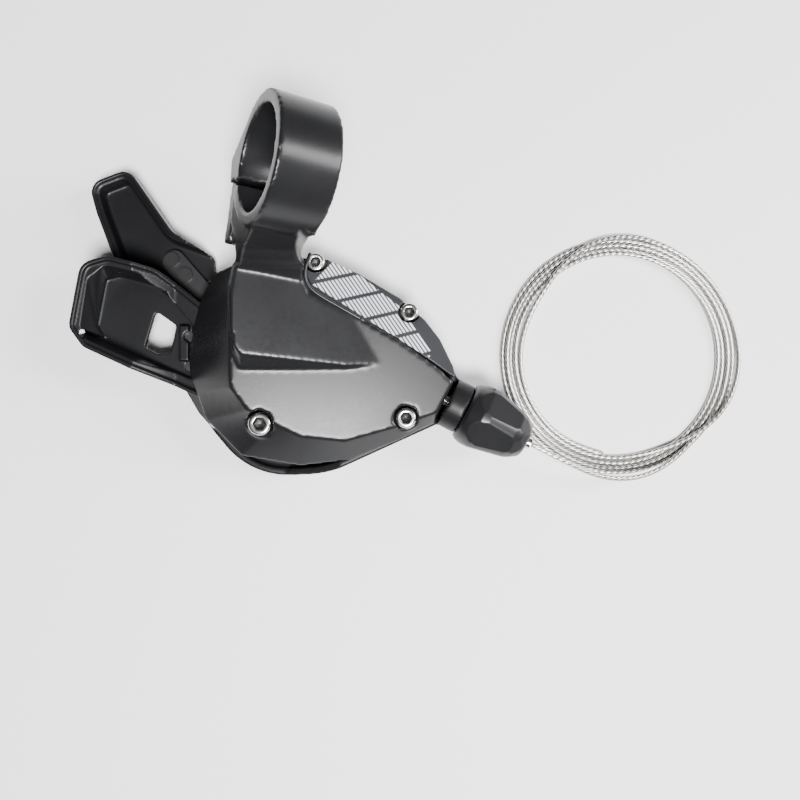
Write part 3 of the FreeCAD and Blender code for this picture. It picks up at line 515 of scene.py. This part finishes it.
def screw_points(place, head, height, socket, length, sides=48):
    """Rows of points for one socket screw standing at `place`, all sizes in millimetres."""
    shank = 1.2
    profile = [(0.01, -length, 0), (shank * 0.8, -length, 0), (shank, -length + 0.3, 0), (shank, 0, 0),
               (head * 0.94, 0, 0), (head, 0.1, 0), (head, height * 0.70, 0),
               (head * 0.985, height * 0.84, 0), (head * 0.93, height * 0.94, 0),
               (head * 0.84, height * 0.99, 0), (head * 0.76, height, 0),
               (socket * 1.14, height, 0.3), (socket * 1.06, height * 0.985, 0.8),
               (socket, height * 0.94, 1), (socket, height * 0.40, 1), (socket * 0.86, height * 0.34, 1),
               (0.01, height * 0.12, 0)]
    angle = np.linspace(0, 2 * math.pi, sides, endpoint=False)
    rows = []
    for radius, lift, hexagon in profile:
        reach = ring_radius(radius, hexagon, angle)
        rows.append(np.stack([place[0] + reach * np.cos(angle), place[1] + reach * np.sin(angle),
                              np.full(sides, place[2] + lift)], axis=1))
    return np.array(rows) * MM


def joined(name, grids):
    """One mesh from several grids that are closed in v and capped."""
    work = bmesh.new()
    for grid in grids:
        part = grid_mesh(name, grid, closed_v=True, caps=True)
        work.from_mesh(part)
        bpy.data.meshes.remove(part)
    bmesh.ops.recalc_face_normals(work, faces=work.faces)
    mesh = bpy.data.meshes.new(name)
    work.to_mesh(mesh)
    work.free()
    mesh.polygons.foreach_set("use_smooth", np.ones(len(mesh.polygons), bool))
    return mesh


# Each screw: place of the seat, head radius, head height, socket radius, length of the shank.
SCREWS = {"cover_screws": [((-2.0, -10.3, 18.6), 2.7, 2.6, 1.45, 3.9),
                           ((31.9, -9.0, 15.4), 2.4, 2.6, 1.3, 9.0)],
          "name_cover_screws": [((32.7, 16.2, 12.75), 2.15, 2.2, 1.15, 6.5),
                                ((10.6, 27.7, 15.2), 2.15, 2.2, 1.15, 6.5)]}
SEAT_CLEAR = 0.1
for node, screws in SCREWS.items():
    shape = joined(node + "_bright", [screw_points(*screw) for screw in screws])
    pair = add_piece(node + "_bright", shape, "shifter_frame")
    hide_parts(node)
    dress(pair, BRIGHT)
    # Faces inside each socket get the darker steel as painted shade.
    pair.data.materials.append(SOCKET_SHADE.material)
    for face in pair.data.polygons:
        for place, _, _, socket, _ in screws:
            offset = face.center / MM - Vector(place)
            if offset.z > SEAT_CLEAR and offset.xy.length < socket:
                face.material_index = 1
    print(pair.name, len(pair.data.polygons), "faces")

# %% [markdown]
# Where the forging meets the name strip its edge is rolled into a thin lip, which catches a line of
# light down the side of the neck. It is a small tube that sinks into the forging at both ends. Its
# route is given by a few points, and corner cutting makes a smooth curve of them: each pass puts new
# points a quarter and three quarters of the way along every side.

# %% Rolled lip
def corner_cut(points, passes=3):
    """A smoother path: each pass replaces a side's ends by its quarter and three-quarter points."""
    for _ in range(passes):
        first, last = points[:-1], points[1:]
        quarter = 0.75 * first + 0.25 * last
        far = 0.25 * first + 0.75 * last
        inner = np.stack([quarter, far], axis=1).reshape(-1, 3)
        points = np.vstack([points[:1], inner, points[-1:]])
    return points


lip_route = np.array([(9.9, 28.8, 22.2), (9.2, 26.6, 23.1), (8.75, 24.4, 23.35), (9.0, 22.4, 23.1),
                      (10.2, 20.5, 22.7), (12.4, 19.0, 22.2), (15.4, 17.3, 21.6), (19.6, 15.0, 20.8),
                      (24.2, 12.4, 19.6)])
lip_path = corner_cut(lip_route) * MM
lip_angle = np.linspace(0, 2 * math.pi, 12, endpoint=False)
LIP_RADIUS = 0.42
lip_section = np.stack([np.cos(lip_angle), np.sin(lip_angle)], axis=1) * LIP_RADIUS * MM
lip = add_piece("rolled_lip", joined("rolled_lip", [swept(lip_path, lip_section)]), "shifter_frame")
dress(lip, FORGED)
print("lip points", len(lip_path))

# %% [markdown]
# A pale table and soft light from large sources make the black shapes readable: black plastic shows
# almost nothing but reflections, so the lights decide where it looks grey. One soft box hangs over
# the table, towards -Y, a second stands to the right, and the room gives a faint even fill.

# %% Floor and light
table_edges = [-3.0, 3.0]
table_grid = np.stack(np.meshgrid(table_edges, table_edges, [0.0], indexing="ij"), axis=-1)
floor = bpy.data.objects.new("table", grid_mesh("table", table_grid[:, :, 0, :]))
bpy.context.scene.collection.objects.link(floor)
TABLE = Finish("pale_table", Roughness=0.6, Base_Color=(0.86, 0.86, 0.86, 1))
dress(floor, TABLE)

world = bpy.data.worlds.new("pale_room")
world.use_nodes = True
world.node_tree.nodes["Background"].inputs["Color"].default_value = (1.0, 1.0, 1.0, 1)
world.node_tree.nodes["Background"].inputs["Strength"].default_value = 0.07
bpy.context.scene.world = world


def soft_light(name, place, target, size, power):
    """A rectangular area light of `size` metres at `place`, aimed at `target`."""
    light = bpy.data.lights.new(name, "AREA")
    light.shape = "RECTANGLE"
    light.size, light.size_y = size
    light.energy = power
    holder = bpy.data.objects.new(name, light)
    holder.location = place
    holder.rotation_euler = (Vector(target) - Vector(place)).to_track_quat("-Z", "Y").to_euler()
    bpy.context.scene.collection.objects.link(holder)


CENTRE = (0.03, 0.0, 0.01)
soft_light("overhead_box", (0.130, -0.260, 0.78), CENTRE, (0.22, 0.20), 19.0)
soft_light("right_box", (0.72, 0.12, 0.50), CENTRE, (0.22, 0.45), 11.0)
print("lights", 2)
